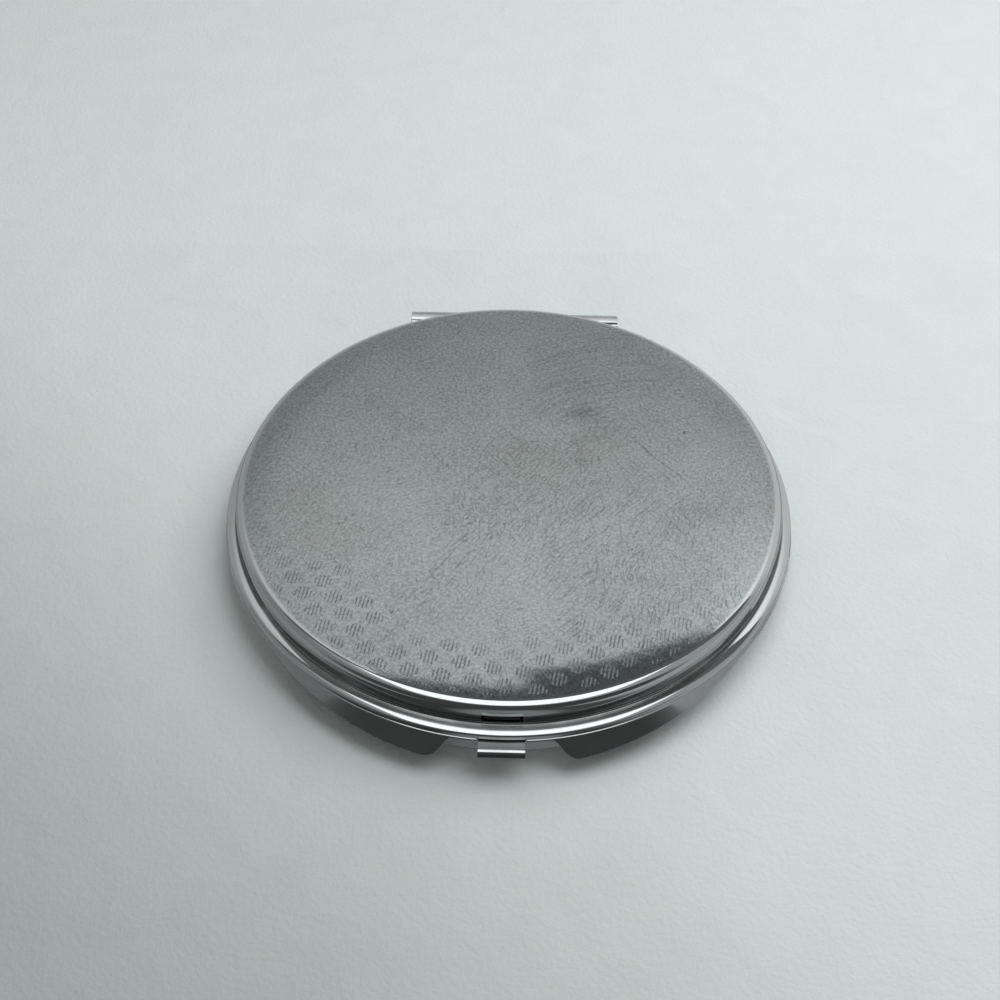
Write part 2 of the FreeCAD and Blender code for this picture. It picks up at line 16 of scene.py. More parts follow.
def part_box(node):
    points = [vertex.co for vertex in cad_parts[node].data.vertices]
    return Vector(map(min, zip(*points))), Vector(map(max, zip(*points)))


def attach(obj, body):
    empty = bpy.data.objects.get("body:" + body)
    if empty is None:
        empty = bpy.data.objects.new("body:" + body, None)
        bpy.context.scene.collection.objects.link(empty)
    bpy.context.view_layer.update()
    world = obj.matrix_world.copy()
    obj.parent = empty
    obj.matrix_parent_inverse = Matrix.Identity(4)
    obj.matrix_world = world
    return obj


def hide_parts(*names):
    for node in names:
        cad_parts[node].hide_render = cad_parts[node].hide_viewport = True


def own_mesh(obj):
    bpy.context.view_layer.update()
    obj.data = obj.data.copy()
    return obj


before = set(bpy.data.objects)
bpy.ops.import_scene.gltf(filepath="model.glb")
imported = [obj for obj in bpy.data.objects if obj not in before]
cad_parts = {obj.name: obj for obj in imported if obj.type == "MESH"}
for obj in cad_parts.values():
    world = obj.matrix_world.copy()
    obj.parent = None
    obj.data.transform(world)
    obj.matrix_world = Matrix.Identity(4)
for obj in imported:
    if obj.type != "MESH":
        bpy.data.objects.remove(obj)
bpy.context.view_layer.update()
MM = 0.001

# %% [markdown]
# ## Drawing a section
# Pressed and turned sheet is best thought of as a section: the outline you would see if you sawed through the
# piece. It could be typed in as a list of vertices, or drawn with a curve. Here it is drawn the way a modeller
# draws it, by extruding one vertex again and again. Straight runs need one step, and each bend is a true arc
# of a stated radius, so the reflections bend as they do on the metal.

# %% Arcs and straight runs
FACE_TURN, FACE_LENGTH = 5, 1.2  # an arc gets a face for about each 5 degrees and each 1.2 mm


def let_go():
    """Leave edit mode with nothing selected, so that the next operator touches only what it should."""
    if bpy.context.mode != "OBJECT":
        bpy.ops.object.mode_set(mode="OBJECT")
    bpy.ops.object.select_all(action="DESELECT")


def trace(corners):
    """Points along a section, in millimetres.

    A corner is (a, b), reached straight, or (a, b, radius, side), reached by an arc with its centre on the
    left of the way for side 1 and on the right for side -1.
    """
    points = [Vector(corners[0])]
    for corner in corners[1:]:
        start, end = points[-1], Vector(corner[:2])
        if len(corner) == 4:
            radius, side = corner[2:]
            chord = end - start
            left = Vector((-chord.y, chord.x)).normalized()
            centre = (start + end) / 2 + left * side * math.sqrt(max(radius**2 - chord.length_squared / 4, 0))
            turn = 2 * side * math.asin(min(chord.length / 2 / radius, 1))
            steps = max(4, round(abs(math.degrees(turn)) / FACE_TURN), round(chord.length / FACE_LENGTH))
            arm = start - centre
            points += [centre + Matrix.Rotation(turn * i / steps, 2) @ arm for i in range(1, steps)]
        points.append(end)
    return points


PLANES = {
    "XZ": lambda a, b: Vector((a * MM, 0, b * MM)),
    "YZ": lambda a, b: Vector((0, a * MM, b * MM)),
    "XY": lambda a, b: Vector((a * MM, b * MM, 0)),
}


def extrude(step):
    """Extrude what is selected by a step."""
    bpy.ops.mesh.extrude_region_move(TRANSFORM_OT_translate={"value": step})


def draw(name, points, plane):
    """Extrude a vertex from point to point in one plane. The piece is left in edit mode."""
    spots = [PLANES[plane](*point) for point in points]
    let_go()
    bpy.ops.mesh.primitive_plane_add(size=MM, location=spots[0])
    piece = bpy.context.object
    piece.name = piece.data.name = name
    bpy.ops.object.transform_apply(location=True, rotation=True, scale=True)
    bpy.ops.object.mode_set(mode="EDIT")
    bpy.ops.mesh.select_all(action="SELECT")
    bpy.ops.mesh.merge(type="CENTER")
    for before, after in zip(spots, spots[1:]):
        extrude(after - before)
    return piece


print("an arc of 90 degrees takes", len(trace([(0, 0), (1, 1, 1, 1)])) - 1, "steps")

# %% [markdown]
# A round piece is its half section spun about the upright axis. The last ring of the spin lies on the first
# and the points on the axis lie on each other, so doubles are merged before the normals are turned outwards.
# A bent strip, such as a hinge leaf, is its side view filled and pulled out to its width. Its sharp edges are
# then rounded with a narrow bevel, because no stamped edge is a knife.

# %% Spin and pull out
TOUCHING = 0.002 * MM


def close_up():
    """Merge what lies together and turn all faces outwards."""
    bpy.ops.mesh.select_all(action="SELECT")
    bpy.ops.mesh.remove_doubles(threshold=TOUCHING)
    bpy.ops.mesh.normals_make_consistent(inside=False)
    let_go()


def spun(name, corners, turns=((360, 288),)):
    """Spin a half section, drawn in X and Z, by one or more turns of (degrees, steps)."""
    piece = draw(name, trace(corners), "XZ")
    bpy.ops.mesh.select_all(action="SELECT")
    for degrees, steps in turns:
        bpy.ops.mesh.spin(steps=steps, angle=math.radians(degrees), center=(0, 0, 0), axis=(0, 0, 1))
    close_up()
    return piece


def modify(piece, kind, **settings):
    """Give a piece a modifier with its settings, and apply it."""
    let_go()
    piece.select_set(True)
    bpy.context.view_layer.objects.active = piece
    bpy.ops.object.modifier_add(type=kind)
    change = piece.modifiers[-1]
    for name, value in settings.items():
        setattr(change, name, value)
    bpy.ops.object.modifier_apply(modifier=change.name)
    let_go()


def pulled(name, corners, plane, start, steps, edge):
    """Fill an outline, move it to its start, pull it out in steps and round its edges."""
    points = trace(corners)
    piece = draw(name, points + points[:1], plane)
    bpy.ops.mesh.select_all(action="SELECT")
    bpy.ops.mesh.remove_doubles(threshold=TOUCHING)
    bpy.ops.mesh.edge_face_add()
    bpy.ops.transform.translate(value=start)
    for step in steps:
        extrude(step)
    close_up()
    modify(piece, "BEVEL", width=edge * MM, segments=2, angle_limit=math.radians(50))
    return piece


def strip(name, corners, width, edge=0.05):
    """A strip as wide as stated across the middle of the case, its side view drawn in Y and Z.

    A short step at each end keeps the rounding of the end from spreading over the long faces.
    """
    end = 0.1
    steps = [(step * MM, 0, 0) for step in (end, width - 2 * end, end)]
    return pulled(name, corners, "YZ", (-width / 2 * MM, 0, 0), steps, edge)


print("spinning and pulling out ready")

# %% [markdown]
# Holes and slots are cut with blocks and cylinders by a Boolean modifier, as the press cuts them. Last, each
# piece is dressed: shaded smooth except at real edges, with normals that follow the large faces, and put in
# the place of its solid on the body that carries it. The print tells how well it fills the solid's box.

# %% Cut, join and dress
RIVET_HOLE = 0.52  # radius in millimetres


def combine(piece, tool, operation="DIFFERENCE"):
    """Cut a piece with a tool, or join the two. The tool is then thrown away."""
    modify(piece, "BOOLEAN", operation=operation, solver="EXACT", object=tool)
    tool.select_set(True)
    bpy.ops.object.delete()


def cut_block(piece, x, y, z):
    """Cut a block between pairs of millimetre coordinates out of a piece."""
    let_go()
    low, high = Vector((x[0], y[0], z[0])) * MM, Vector((x[1], y[1], z[1])) * MM
    bpy.ops.mesh.primitive_cube_add(size=1, location=(low + high) / 2)
    bpy.ops.transform.resize(value=high - low)
    combine(piece, bpy.context.object)


def rivet_holes(piece, x, y, z):
    """Two round holes for rivets, one each side of the middle."""
    for side in (-1, 1):
        let_go()
        bpy.ops.mesh.primitive_cylinder_add(
            vertices=48, radius=RIVET_HOLE * MM, depth=2 * MM, location=Vector((side * x, y, z)) * MM)
        combine(piece, bpy.context.object)


def dress(piece, node, body):
    """Shade a finished piece, its large faces leading at the edges, and put it in the place of its solid."""
    let_go()
    piece.select_set(True)
    bpy.context.view_layer.objects.active = piece
    bpy.ops.object.shade_smooth_by_angle(angle=math.radians(35))
    modify(piece, "WEIGHTED_NORMAL", keep_sharp=True)
    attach(piece, body)
    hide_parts(node)
    low, high = (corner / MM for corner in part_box(node))
    mine = [vertex.co / MM for vertex in piece.data.vertices]
    spread = [(min(v[i] for v in mine) - low[i], max(v[i] for v in mine) - high[i]) for i in range(3)]
    worst = max(abs(value) for pair in spread for value in pair)
    print(f"{piece.name}: {len(piece.data.polygons)} faces, at most {worst:.3f} mm from its solid's box")


print("cutting and dressing ready")

# %% [markdown]
# ## Sizes that pieces share
# Some sizes come back in several pieces: the pin's axis, the room for the hinge and the latch, the rivets. They
# are named once, in millimetres, so that pieces that meet also agree. The numbers in a section belong to that
# piece alone and read as points on a drawing.

# %% Shared sizes
FAR = 40                          # outside the case on every side
PIN_Y, PIN_Z = 34.7, 4.6          # axis of the hinge pin
HINGE_ROOM = (-14.8, 14.8)        # across the hinge
BEHIND = (32.9, FAR)              # where the rings and the lid make way for the hinge
LATCH_ROOM = (-2.8, 2.8)          # across the latch's leg
SLOT_DEPTH = (-FAR, -30.8)        # how far the latch's slots reach in
WALL_DEPTH = (-FAR, -32.5)        # through the upright walls at the front
RING_OPENING = 28.6               # radius of both rings' opening
HINGE_RIVETS = (4.8, 31.15)       # sideways and back from the middle
GUIDE_RIVETS = (5.7, -30.975)
print("pin axis at", (PIN_Y, PIN_Z), "mm")

# %% [markdown]
# ## Lid cover
# The lid is drawn from one sheet: a nearly flat crown that droops towards its edge, a rounded shoulder, a short
# upright wall, a small cove and a narrow flange that rolls softly over into the rim. A stack of scaled circles
# would give the outline but not the even curvature, so the whole section, outside and inside, is spun at once.
# The gap for the hinge and the window for the latch are cut afterwards, as the press does.

# %% Lid cover
lid_cover = spun("lid_cover", [
    (0, 9.75), (28.0, 9.3143, 900, -1), (32.6646, 8.8019, 30, -1), (33.6, 7.6721, 1.15, -1),
    (33.6, 5.993), (33.87, 5.677, 0.32, 1), (34.4331, 5.5573, 5.5, -1), (34.905, 5.3011, 1.15, -1),
    (35.0, 5.0878, 0.287, -1), (35.0, 4.73), (34.92, 4.65, 0.08, -1), (34.63, 4.65), (34.55, 4.73, 0.08, -1),
    (34.55, 5.05), (34.4, 5.2, 0.15, 1), (34.1, 5.2), (33.15, 6.15, 0.95, -1),
    (33.15, 7.8784), (32.7871, 8.3199, 0.45, 1), (27.986, 8.8646, 29.55, 1), (0, 9.3, 899.55, 1),
])
cut_block(lid_cover, HINGE_ROOM, BEHIND, (0, 6.4))
cut_block(lid_cover, (-2.3, 2.3), WALL_DEPTH, (6.1, 7.1))
dress(lid_cover, "lid_shell", "lid")

# %% [markdown]
# ## Lid ring
# A thin flat ring, seen when the case is open, holds the plain mirror in the lid. Its inner edge is rolled so
# that it cannot scratch. It is spun as well, then trimmed flat behind for the hinge and slotted for the latch.

# %% Lid ring
lid_ring = spun("lid_ring", [
    (RING_OPENING, 5.2), (RING_OPENING, 4.975), (28.825, 4.75, 0.225, 1), (34.27, 4.75), (34.35, 4.83, 0.08, 1),
    (34.35, 5.2), (RING_OPENING, 5.2),
])
cut_block(lid_ring, (-FAR, FAR), BEHIND, (4, 6))
cut_block(lid_ring, (-2.5, 2.5), SLOT_DEPTH, (4, 6))
rivet_holes(lid_ring, *HINGE_RIVETS, 5)
dress(lid_ring, "lid_frame", "lid")

# %% [markdown]
# ## Base pan
# The base is a plain pressed pan: flat bottom, rounded shoulder, upright wall and a flange turned outwards,
# which the base ring sits on. One spin makes it, and two blocks cut the room for the hinge and the latch.

# %% Base pan
base_pan = spun("base_pan", [
    (0, 0), (32.7, 0), (33.6, 0.9, 0.9, 1), (33.6, 3.25), (33.9, 3.55, 0.3, -1), (34.24, 3.55),
    (34.3, 3.61, 0.06, 1), (34.3, 4.0), (33.9, 4.0), (33.15, 3.25, 0.75, 1), (33.15, 0.9),
    (32.7, 0.45, 0.45, -1), (0, 0.45),
])
cut_block(base_pan, HINGE_ROOM, (29.5, FAR), (2.8, 10))
cut_block(base_pan, LATCH_ROOM, WALL_DEPTH, (3.6, 10))
dress(base_pan, "base_shell", "base")

# %% [markdown]
# ## Base ring with its ears
# This ring is the trickiest stamping. It holds the magnifying mirror, bends down all round in a narrow lip, and
# beside the latch the lip flares out into two ears for the fingers. A plain ring could be cut to the plan with
# a boolean, but that leaves knife-sharp edges. Instead the ring is spun with a rounded lip, and then the lip's
# vertices are pulled outwards along its slope, as far as the plan says at their angle.

# %% Plan of the lip
LIP, NOTCH, EAR = 35.25, 34.85, 36.8  # how far the lip, the notch at the latch and the ears reach


def outward(angle, radius):
    """A point in plan at an angle from the front and a radius."""
    return Vector((radius * math.sin(math.radians(angle)), radius * math.cos(math.radians(angle))))


lip_plan = trace([
    outward(0, NOTCH), outward(7.7, NOTCH),
    (*outward(10.7, 35.825), 2.3, 1), (*outward(13.7, EAR), 2.3, -1), (*outward(50, LIP), 33.4, -1),
])
lip_plan = [(math.degrees(math.atan2(point.x, point.y)), point.length) for point in lip_plan]


def lip_radius(angle):
    """How far the lip reaches at an angle from the front, the same on both sides."""
    angle = abs(angle)
    for (start, near), (end, far) in zip(lip_plan, lip_plan[1:]):
        if start <= angle <= end:
            return near + (far - near) * (angle - start) / (end - start)
    return LIP


print("lip reaches", [round(lip_radius(angle), 2) for angle in (0, 7.7, 10.7, 13.7, 30, 50, 90)])

# %% [markdown]
# The section's lip is drawn from its slope: along it, and across the sheet's thickness. Two close rings of
# vertices beside each rounded edge hold the rounding in its place while the ears are pulled out. The spin takes
# finer steps at the front, where the plan bends most.

# %% Base ring
slope = Vector((math.cos(math.radians(45)), -math.sin(math.radians(45))))
across_sheet = Vector((-slope.y, slope.x))
bend, inner_bend, outer_bend = Vector((34.607, 3.95)), 0.05, 0.5
soft_edge, brace, plain_lip = 0.12, 0.02, 35.07
under_bend, top_bend = bend + across_sheet * inner_bend, bend + across_sheet * outer_bend
lip_length = (plain_lip - top_bend.x) / slope.x
under_lip, top_lip = under_bend + slope * lip_length, top_bend + slope * lip_length
base_ring = spun("base_ring", [
    (RING_OPENING, 4.0), (bend.x, 4.0), (*under_bend, inner_bend, -1),
    under_lip - slope * (soft_edge + brace), under_lip - slope * soft_edge,
    (*(under_lip + across_sheet * soft_edge), soft_edge, 1), top_lip - across_sheet * soft_edge,
    (*(top_lip - slope * soft_edge), soft_edge, 1), top_lip - slope * (soft_edge + brace),
    top_bend, (bend.x, 4.45, outer_bend, 1),
    (28.825, 4.45), (RING_OPENING, 4.225, 0.225, 1), (RING_OPENING, 4.0),
], turns=((66, 44), (48, 96), (246, 164)))

bpy.context.view_layer.objects.active = base_ring
bpy.ops.object.mode_set(mode="EDIT")
mesh = bmesh.from_edit_mesh(base_ring.data)
for vertex in mesh.verts:
    radius = vertex.co.xy.length / MM
    past_bend = (Vector((radius, vertex.co.z / MM)) - top_bend).dot(slope)
    if past_bend > 0.01:
        pull = max(lip_radius(math.degrees(math.atan2(vertex.co.x, -vertex.co.y))) - plain_lip, 0)
        vertex.co.xy *= (radius + pull) / radius
        vertex.co.z += pull * slope.y / slope.x * MM
bmesh.update_edit_mesh(base_ring.data)
let_go()
cut_block(base_ring, (-FAR, FAR), BEHIND, (0, 6))
cut_block(base_ring, HINGE_ROOM, (30.2, FAR), (0, 3.99))
cut_block(base_ring, LATCH_ROOM, SLOT_DEPTH, (0, 6))
rivet_holes(base_ring, *HINGE_RIVETS, 4.2)
rivet_holes(base_ring, *GUIDE_RIVETS, 4.2)
dress(base_ring, "base_frame", "base")

# %% [markdown]
# ## The two mirrors
# Both mirrors are discs of silvered glass with a ground bevel at the back. The lid's is plain. The base's has
# a shallow hollow front, which makes it magnify, inside a flat edge that the ring holds down.

# %% Mirrors
plain_mirror = spun("plain_mirror", [
    (0, 5.2), (29.4, 5.2), (29.5, 5.3, 0.1, 1), (29.5, 6.7), (29.2, 7.0), (0, 7.0),
])
dress(plain_mirror, "lid_mirror", "lid")
magnifying_mirror = spun("magnifying_mirror", [
    (0, 2.0), (29.2, 2.0), (29.5, 2.3), (29.5, 3.9), (29.4, 4.0, 0.1, 1), (RING_OPENING, 4.0),
    (0, 3.25, 545.68, -1),
])
dress(magnifying_mirror, "base_mirror", "base")

# %% [markdown]
# ## Hinge
# The hinge is two leaves of sheet, riveted to the rings, with eyes rolled round one pin. Cylinders would look
# right from outside, but the roll of the sheet shows at the ends, so each leaf is a side view with the eye
# drawn as an open curl, pulled out to its width. The base's leaf then loses its middle half to the lid's eye.

# %% Hinge leaves
EYE_IN, EYE_OUT = 1.0, 1.5  # radii of a rolled eye


def leaf_view(up):
    """Side view of a leaf whose sheet lies above the pin's plane for up 1 and below it for up -1."""
    def sheet(y, off):
        return y, PIN_Z + up * off

    def eye(angle, radius):
        turn = math.radians(angle)
        return PIN_Y + radius * math.cos(turn), PIN_Z + up * radius * math.sin(turn)

    def bent(angle, radius, side):
        return (*eye(angle, radius), radius, side * up)

    return [
        sheet(30.2, 0.6), sheet(32.1, 0.6), sheet(33.3, EYE_IN), eye(90, EYE_IN),
        *(bent(angle, EYE_IN, -1) for angle in (-10, -110, -200)),
        eye(-200, EYE_OUT), *(bent(angle, EYE_OUT, 1) for angle in (-110, -10, 90)),
        sheet(33.3, EYE_OUT), sheet(32.1, 1.1), sheet(30.2, 1.1),
    ]


lid_leaf = strip("lid_leaf", leaf_view(1), 14.4)
rivet_holes(lid_leaf, *HINGE_RIVETS, 5.6)
dress(lid_leaf, "lid_hinge_leaf", "lid")
base_leaf = strip("base_leaf", leaf_view(-1), 29.0)
cut_block(base_leaf, (-7.4, 7.4), (32.1, FAR), (0, 8))
rivet_holes(base_leaf, *HINGE_RIVETS, 3.6)
dress(base_leaf, "base_hinge_leaf", "base")

# %% [markdown]
# ## Latch
# The latch is one small stamping that slides in the base ring's slot. Outside it ends in a rolled bead for the
# thumb. Inside, a finger stands up through the lid's ring with a tooth in the lid's window, and a wider tongue
# runs in a guide. The four strips are drawn in side view and joined into one solid.

# %% Latch
BEAD_Y, BEAD_Z, BEAD_IN, BEAD_OUT = -35.9, 3.72, 0.28, 0.68  # centre and radii of the rolled bead
LATCH_WIDTH = 5.2


def curl(angle, radius):
    """A point on the bead's roll."""
    turn = math.radians(180 - angle)
    return BEAD_Y + radius * math.cos(turn), BEAD_Z + radius * math.sin(turn)


def rolled(angle, radius, side):
    """The same point as the end of an arc."""
    return (*curl(angle, radius), radius, side)


latch = strip("latch", [
    (-32.1, 4.0), curl(90, BEAD_IN), *(rolled(angle, BEAD_IN, 1) for angle in (-10, -110, -200)),
    curl(-200, BEAD_OUT), *(rolled(angle, BEAD_OUT, -1) for angle in (-110, -10, 90)), (-32.1, 4.4),
], LATCH_WIDTH, edge=0.06)
web = [(-32.5, 3.55), (-32.1, 3.55), (-32.1, 4.4), (-32.5, 4.4)]
finger = [(-32.1, 4.0), (-32.1, 7.1), (-32.5, 7.1), (-33.45, 6.5), (-33.45, 6.3), (-32.5, 6.3), (-32.5, 4.0)]
tongue = [(-31.0, 3.55), (-31.0, 3.95), (-32.5, 3.95), (-32.5, 3.55)]
for name, view, width in (("web", web, LATCH_WIDTH), ("finger", finger, 4.0), ("tongue", tongue, 8.4)):
    combine(latch, strip(name, view, width), "UNION")
dress(latch, "latch_slider", "latch")

# %% [markdown]
# ## Latch spring
# A thin bowed strip behind the latch's tongue pushes it out again. It is drawn from above and pulled up to its
# height. When the latch is pressed the real strip bends flat, and a stiff copy would be cut by the tongue; this
# piece only gets a mesh of its own.

# %% Latch spring
low, high = (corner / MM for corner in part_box("latch_spring"))
bow = [(-3.6, -30.05), (3.6, -30.05, 9.015, 1), (3.66, -30.1875), (-3.66, -30.1875, 9.165, -1)]
spring = pulled("spring", bow, "XY", (0, 0, low.z * MM), [(0, 0, (high.z - low.z) * MM)], edge=0.03)
dress(spring, "latch_spring", "base")
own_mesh(spring)

# %% [markdown]
# ## Camera
# The photograph looks down at the closed case from the front, at about 47 degrees. The camera's axes are
# written as a turn about the upright axis, a tilt and a small roll, and it is set back far enough that the rim
# fills the same part of the square picture.

# %% Camera
tilt, roll, turn = math.radians(47.163), math.radians(0.522), math.radians(-1.135)
distance, shift_right, shift_up = 181.18, 1.1132, -0.5397
sensor, lens_to_sensor = 36, 1.444
level_right = Vector((math.cos(turn), -math.sin(turn), 0))
level_up = Vector((math.sin(tilt) * math.sin(turn), math.sin(tilt) * math.cos(turn), math.cos(tilt)))
ahead = Vector((math.cos(tilt) * math.sin(turn), math.cos(tilt) * math.cos(turn), -math.sin(tilt)))
right = level_right * math.cos(roll) + level_up * math.sin(roll)
up = level_up * math.cos(roll) - level_right * math.sin(roll)
eye = Vector((0, 0, PIN_Z)) - level_right * shift_right - level_up * shift_up - ahead * distance
bpy.ops.object.camera_add()
camera = bpy.context.object
camera.matrix_world = Matrix((right, up, -ahead)).transposed().to_4x4()
camera.location = eye * MM
camera.data.sensor_width, camera.data.lens = sensor, sensor * lens_to_sensor
camera.data.clip_start, camera.data.clip_end = 0.005, 20
bpy.context.scene.camera = camera
print("camera at", [round(value, 1) for value in eye], "mm")

# %% [markdown]
# ## Node helpers
# Every finish below is a small network of nodes. A helper class keeps them readable: each method adds a node,
# fills its sockets with numbers or links, and gives back what comes out. Masks are laid over a value one by
# one, each times its own amount, which is how most of the finishes are mixed.

# %% Node helpers
class Net:
    """A node tree, with short ways to add to it."""

    def __init__(self, tree):
        self.tree = tree

    def fill(self, node, inputs):
        """Fill a node's inputs with values or links."""
        for name, value in inputs.items():
            if isinstance(value, bpy.types.NodeSocket):
                self.tree.links.new(value, node.inputs[name])
            else:
                node.inputs[name].default_value = value

    def add(self, kind, inputs, **settings):
        """Add a node with its own settings, and fill its inputs."""
        node = self.tree.nodes.new("ShaderNode" + kind)
        for name, value in settings.items():
            setattr(node, name, value)
        self.fill(node, inputs)
        return node

    def math(self, operation, *values):
        """The result of a Math node on up to three values."""
        return self.add("Math", dict(enumerate(values)), operation=operation).outputs[0]

    def times(self, first, second):
        """The product of two values."""
        return self.math("MULTIPLY", first, second)

    def layered(self, value, *layers):
        """A value with masks laid over it, each times its amount."""
        for mask, amount in layers:
            value = self.math("MULTIPLY_ADD", mask, amount, value)
        return value

    def ramp(self, value, low, high, to_low=0.0, to_high=1.0):
        """A smooth step of a value from one pair of levels to another."""
        levels = {"Value": value, "From Min": low, "From Max": high, "To Min": to_low, "To Max": to_high}
        return self.add("MapRange", levels, interpolation_type="SMOOTHSTEP").outputs["Result"]

    def vector(self, operation, *values):
        """The result of a Vector Math node: a value for a length or distance, and else a vector."""
        made = self.add("VectorMath", dict(enumerate(values)), operation=operation).outputs
        return made["Value"] if operation in ("LENGTH", "DISTANCE") else made[0]

    def scaled(self, colour, shade):
        """A colour made lighter or darker."""
        return self.add("VectorMath", {0: colour, "Scale": shade}, operation="SCALE").outputs[0]

    def mix(self, factor, first, second, kind="RGBA"):
        """A mix of two colours, or of two values for kind FLOAT."""
        ends = {"Factor": factor, "A": first, "B": second}
        return self.add("Mix", ends, data_type=kind).outputs["Result"]

    def noise(self, vector, scale, detail, **more):
        """The value of a Noise texture."""
        inputs = {"Vector": vector, "Scale": scale, "Detail": detail, **more}
        return self.add("TexNoise", inputs).outputs[0]

    def split(self, vector):
        """The X, Y and Z of a vector."""
        return self.add("SeparateXYZ", {0: vector}).outputs

    def join(self, x, y, z=0.0):
        """A vector from its X, Y and Z."""
        return self.add("CombineXYZ", {"X": x, "Y": y, "Z": z}).outputs[0]

    def turned(self, vector, angle):
        """A vector turned about the upright axis."""
        inputs = {"Vector": vector, "Angle": angle}
        return self.add("VectorRotate", inputs, rotation_type="Z_AXIS").outputs[0]

    def in_plan(self, sides):
        """A place seen from above, as a vector, and its distance from the upright axis."""
        flat = self.join(sides["X"], sides["Y"])
        return flat, self.vector("LENGTH", flat)

    def round_axis(self, sides, radius):
        """Arc length round the upright axis at a radius."""
        return self.times(self.math("ARCTAN2", sides["Y"], sides["X"]), radius)

    def bump(self, height, strength, distance, invert=False):
        """The normal of a surface with a relief."""
        inputs = {"Height": height, "Strength": strength, "Distance": distance}
        return self.add("Bump", inputs, invert=invert).outputs[0]

    def place(self, group, inputs):
        """A built group placed in this tree."""
        return self.add("Group", inputs, node_tree=group.tree).outputs


print("node helpers ready")

# %% [markdown]
# An effect that several finishes share is a node group with named inputs and outputs, built once and placed in
# each material with its own values. A material starts with its Principled shader and the object's own
# coordinates, so that a pattern stays on the piece when it moves.

# %% Groups and materials
def new_group(name, inputs, outputs):
    """An empty group. Inputs are names with a default, or with None for a vector. All outputs are values."""
    group = bpy.data.node_groups.new(name, "ShaderNodeTree")
    for socket, default in inputs.items():
        kind = "NodeSocketVector" if default is None else "NodeSocketFloat"
        made = group.interface.new_socket(socket, in_out="INPUT", socket_type=kind)
        if default is not None:
            made.default_value = default
    for socket in outputs:
        group.interface.new_socket(socket, in_out="OUTPUT", socket_type="NodeSocketFloat")
    return Net(group), group.nodes.new("NodeGroupInput").outputs, group.nodes.new("NodeGroupOutput")


def new_material(name):
    """A material, its tree, its Principled shader and the object's own coordinates."""
    material = bpy.data.materials.new(name)
    material.use_nodes = True
    net = Net(material.node_tree)
    return material, net, net.tree.nodes["Principled BSDF"], net.add("TexCoord", {}).outputs["Object"]


print("groups and materials ready")

# %% [markdown]
# ## Scuff lines
# Plated sheet that lives in a bag is covered with fine hairlines in every direction. One could paint them, but
# a noise that is squeezed one way and drawn out the other gives endless short lines with no repeat. The group
# takes the direction, how fine and how long the lines are, and how sparse.

# %% Scuff lines
scuff_lines, given, result = new_group(
    "Scuff lines", {"Vector": None, "Turn": 0.0, "Across": 4000.0, "Along": 300.0, "Sparse": 0.6}, ["Lines"])
net = scuff_lines
squeeze = net.join(given["Along"], given["Across"], 100.0)
drawn = net.vector("MULTIPLY", net.turned(given["Vector"], given["Turn"]), squeeze)
grain = net.noise(drawn, 1.0, 2.0, Roughness=0.55)
lines = net.ramp(grain, given["Sparse"], net.math("ADD", given["Sparse"], 0.13))
net.fill(result, {"Lines": lines})
print("group:", net.tree.name)

# %% [markdown]
# ## Hatch lattice
# The crown was pressed with a common engine-turned pattern: small groups of five short strokes, the outer two
# shorter, in rows that are staggered by half a step. The group folds the surface into one cell per motif and
# finds how far a point is from the nearest stroke. Lengths along a stroke are in parts of a row.

# %% Hatch lattice
hatch_lattice, given, result = new_group(
    "Hatch lattice",
    {"Vector": None, "Turn": 0.0, "Pitch": 0.0036, "Row": 0.00203, "Gap": 0.00044, "Width": 0.00017},
    ["Mark"])
net = hatch_lattice
part = net.split(net.turned(given["Vector"], given["Turn"]))
row = net.math("ROUND", net.math("DIVIDE", part["Y"], given["Row"]))
half_row = net.times(given["Row"], 0.5)
in_row = net.math("WRAP", part["Y"], half_row, net.times(half_row, -1.0))
half_pitch = net.times(given["Pitch"], 0.5)
stagger = net.times(net.math("FLOORED_MODULO", row, 2.0), half_pitch)
in_cell = net.math("WRAP", net.math("ADD", part["X"], stagger), half_pitch, net.times(half_pitch, -1.0))
number = net.math("ROUND", net.math("DIVIDE", in_cell, given["Gap"]))
number = net.math("MINIMUM", net.math("MAXIMUM", number, -2.0), 2.0)
off_stroke = net.math("MULTIPLY_ADD", number, net.times(given["Gap"], -1.0), in_cell)
beside = net.math("DIVIDE", net.math("ABSOLUTE", off_stroke), given["Width"])
outer = net.math("ABSOLUTE", number)
shorter = net.times(net.times(outer, outer), 0.075)
half_length = net.math("SUBTRACT", net.math("MULTIPLY_ADD", outer, 0.035, 0.44), shorter)
past_end = net.math("SUBTRACT", net.math("DIVIDE", net.math("ABSOLUTE", in_row), given["Row"]), half_length)
mark = net.times(net.ramp(beside, 0.35, 0.65, 1.0, 0.0), net.ramp(past_end, -0.03, 0.03, 1.0, 0.0))
net.fill(result, {"Mark": mark})
print("group:", net.tree.name)

# %% [markdown]
# ## Handling marks
# Smudges and wiped patches change how sharp the plate reflects. A soft noise of about the size of a fingertip
# gives the patches, and small round cells, kept only here and there, give specks of grease or dust.

# %% Handling marks
handling, given, result = new_group(
    "Handling marks", {"Vector": None, "Patch": 90.0, "Spot": 900.0}, ["Patches", "Specks"])
net = handling
patches = net.ramp(net.noise(given["Vector"], given["Patch"], 4.0, Roughness=0.6), 0.38, 0.68)
cells = net.add("TexVoronoi", {"Vector": given["Vector"], "Scale": given["Spot"]}).outputs["Distance"]
here_and_there = net.ramp(net.noise(given["Vector"], 260.0, 1.0), 0.58, 0.66)
specks = net.times(net.ramp(cells, 0.05, 0.13, 1.0, 0.0), here_and_there)
net.fill(result, {"Patches": patches, "Specks": specks})
print("group:", net.tree.name)

